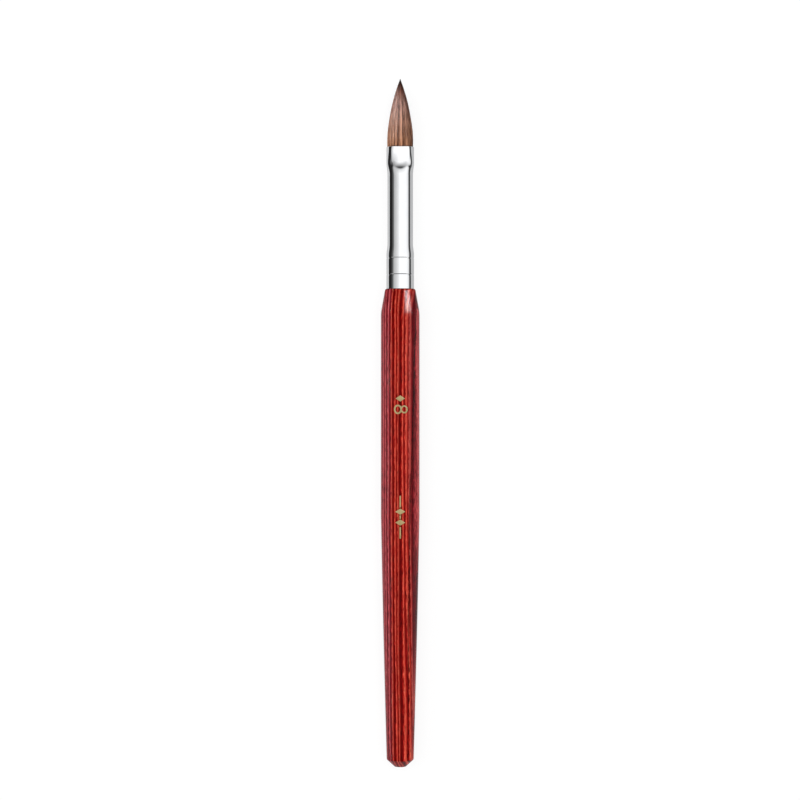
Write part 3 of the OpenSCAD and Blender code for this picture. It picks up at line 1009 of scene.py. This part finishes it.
# %% The cards round the ferrule
STRIPES = [(-180, 0.38), (-140, 0.46), (-115, 0.72), (-105.6, 0.80), (-105, 0.02), (-79, 0.02),
           (-59, 0.20), (-55, 0.52), (-31.5, 0.76), (-14.6, 0.99), (-4.5, 1.22), (50.5, 1.20),
           (69, 1.0), (76.5, 0.7), (82, 0.06), (98, 0.06), (98.8, 0.60), (120, 0.56), (179, 0.38)]
END_LEVELS = [(-120, 0.3), (-60, 0.85), (60, 0.85), (120, 0.3)]
CARD_R, CARD_Z, END_HALF = 60.0, -4.95, 500.0
ARCH_YS, FOOT_YS = (20.0, 80.0, 130.0), (32.4, 80.0, 130.0)
BUTT_CARD, TIP_CARD = (-160.0, 220.0), (230.0, 130.0)
TIP_FADE, NO_FADE = (78.0, 118.0), (400.0, 500.0)


def end_card(at_y, top):
    """Grid of points of an upright rectangle across the brush's axis, at a place and up to a top."""
    return np.array([[[x, at_y, z] for x in (-END_HALF, 0.0, END_HALF)] for z in (CARD_Z, top)])


low = math.acos(CARD_Z / CARD_R)
angle = np.linspace(-low, low, 115)
arch = np.stack([CARD_R * np.sin(angle), CARD_R * np.cos(angle)], axis=1)
foot_x = np.linspace(arch[-1, 0], arch[0, 0], 80)
foot = np.stack([foot_x, np.full(len(foot_x), CARD_Z)], axis=1)
tent = card_material("ferrule_cards", STRIPES, *TIP_FADE)
ends = card_material("end_cards", END_LEVELS, *NO_FADE)
ferrule_cards = [
    card_sheet("ferrule_arch", carried(arch, ARCH_YS), tent),
    card_sheet("ferrule_foot", carried(foot, FOOT_YS), tent),
    card_sheet("butt_end_card", end_card(*BUTT_CARD), ends),
    card_sheet("tip_end_card", end_card(*TIP_CARD), ends),
]

# %% [markdown]
# Lacquer reflects most at grazing angles, so the white floor would draw pale lines along both edges
# of the handle. A grey card lies under it, as a strip of grey paper would, and keeps the edges red.

# %% The card under the handle
GREYS = [(-179, 0.6), (-130, 0.5), (-114, 0.3), (-100, 0.24),
         (100, 0.24), (114, 0.3), (130, 0.5), (179, 0.6)]
STRIP_HALF, STRIP_Z, STRIP_YS = 260.0, CARD_Z - 0.01, (-200.0, 0.0, 32.4)
strip = [(x, STRIP_Z) for x in (-STRIP_HALF, 0.0, STRIP_HALF)]
grey_card = card_material("handle_card", GREYS, *NO_FADE)
handle_card = card_sheet("handle_card", carried(strip, STRIP_YS), grey_card)

# %% [markdown]
# ## Lamps
# A lamp is a rectangle that looks at the brush. A softbox shows in the lacquer as a pale veil; a fill
# is kept out of reflections and only lightens what it falls on. Cycles can find a lamp in two ways:
# by aiming at it, or by a reflected ray that happens to hit it. Only the first is used, because the
# cards, which exist for reflections, would stand in the way of the second.

# %% Helpers that make lamps
def facing(place, aim):
    """Matrix of a lamp at a place that looks at an aim: it looks along its -Z, and its X is square
    to the brush's axis."""
    place, aim = np.array(place, float), np.array(aim, float)
    away = (place - aim) / np.linalg.norm(place - aim)
    side = np.cross((0.0, 1.0, 0.0) if abs(away[1]) < 0.9 else (1.0, 0.0, 0.0), away)
    side /= np.linalg.norm(side)
    turn = np.eye(4)
    turn[:3] = np.stack([side, np.cross(away, side), away, place * MM], axis=1)
    return Matrix(turn.tolist())


def softbox(name, place, aim, wide, tall, radiance, glossy=True, diffuse=True):
    """Rectangular area lamp, sizes in millimetres. Its power is radiance x pi x area."""
    lamp = bpy.data.lights.new(name, "AREA")
    lamp.shape = "RECTANGLE"
    lamp.size = wide * MM
    lamp.size_y = tall * MM
    lamp.energy = radiance * math.pi * lamp.size * lamp.size_y
    lamp.cycles.use_multiple_importance_sampling = False
    lamp_object = put_in_scene(name, lamp)
    lamp_object.matrix_world = facing(place, aim)
    lamp_object.visible_camera = False
    lamp_object.visible_glossy = glossy
    lamp_object.visible_diffuse = diffuse
    return lamp_object


# %% [markdown]
# A long softbox stands low on the left, and a bright one high on the right makes the highlight on
# the cone. Two fills lighten the sides, and a wide one overhead lights everything evenly. The hair
# has a softbox of its own, up on the left, for its sheen. The surroundings are dim, as a studio is
# behind the camera, so the red stays deep in front.

# %% Lamps and surroundings
STUDIO_GREY = (0.05, 0.05, 0.053, 1.0)
left_softbox = softbox("left_softbox", (-450, -20, 125), (0, -20, 0), 285, 620, 0.42)
softbox("left_fill", (-420, 20, 330), (0, 0, 0), 300, 520, 2.0, glossy=False)
right_softbox = softbox("right_softbox", (446, 216, 357), (0, 29, 0), 420, 140, 12.0, diffuse=False)
right_fill = softbox("right_fill", (520, -60, 130), (0, -30, 0), 200, 420, 2.6, glossy=False)
hair_softbox = softbox("hair_softbox", (-210, 190, 235), (0, 80, 0), 320, 110, 4.6)
softbox("overhead_fill", (0, 0, 1000), (0, 0, 0), 1300, 1300, 3.0, glossy=False)
world = bpy.data.worlds.new("dim_studio")
world.use_nodes = True
plug(world.node_tree.nodes["Background"], Color=STUDIO_GREY)
bpy.context.scene.world = world

# %% [markdown]
# A photographer shades each lamp so that it reaches only what it is meant for. Light linking does
# that with a collection: a lamp or a card shines on the pieces in it and on no others. The left fill
# and the one overhead have none, and reach everything.

# %% What each lamp and card shines on
def light_only(glow, pieces):
    """Lets a lamp or a glowing card light these pieces and no others."""
    lit = bpy.data.collections.new("lit_by_" + glow.name)
    for piece in pieces:
        lit.objects.link(piece)
    glow.light_linking.receiver_collection = lit
    print(glow.name, "shines on", [piece.name for piece in pieces])


grip_pieces = [handle, number, ornament]
for card in ferrule_cards:
    light_only(card, [ferrule])
light_only(handle_card, grip_pieces)
light_only(hair_softbox, hairs)
light_only(left_softbox, [*grip_pieces, floor, *hairs])
light_only(right_softbox, [*grip_pieces, floor])
light_only(right_fill, [*grip_pieces, floor])

# %% [markdown]
# ## The camera
# The brush is seen straight on, tip up. An orthographic camera would keep its sides quite parallel;
# a long lens does so nearly, as on a real camera. The frame is 207 mm wide at the brush's axis, and
# its middle is a little above the middle of the grip.

# %% The camera
FRAME_MM, LENS, SENSOR = 207.0, 128.0, 36.0
FRAME_X, FRAME_Y = -0.06, 3.61
camera_data = bpy.data.cameras.new("camera")
camera_data.lens = LENS
camera_data.sensor_width = SENSOR
camera = put_in_scene("camera", camera_data)
camera.location = (FRAME_X * MM, FRAME_Y * MM, FRAME_MM * LENS / SENSOR * MM)
bpy.context.scene.camera = camera
bpy.context.scene.view_settings.view_transform = "Standard"
print("camera height", round(camera.location.z, 3), "m")
